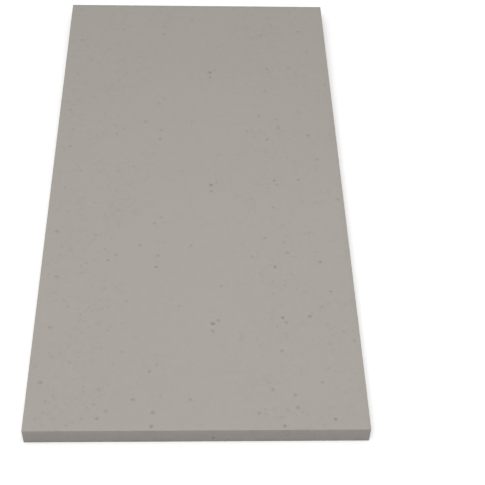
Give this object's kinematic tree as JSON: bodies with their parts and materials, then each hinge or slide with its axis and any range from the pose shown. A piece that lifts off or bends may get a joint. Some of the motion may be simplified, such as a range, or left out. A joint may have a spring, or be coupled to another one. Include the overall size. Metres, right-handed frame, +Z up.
{
  "type": "high-temperature insulation board",
  "caption": "Flat rectangular slab of rigid, porous mineral board with square sawn edges, used to line and insulate hot casings, kilns and fireplaces.",
  "frame": {"origin": "middle of the underside, which the board lies on", "axes": "+Z up through the thickness, +Y along the length, +X across the width"},
  "size_m": [0.5, 1, 0.03],
  "materials": {
    "mineral_board": "matt, dry and uncoated, pale warm grey with small dark mineral flecks"
  },
  "bodies": {
    "root": {"board": "mineral_board"}
  },
  "joints": []
}
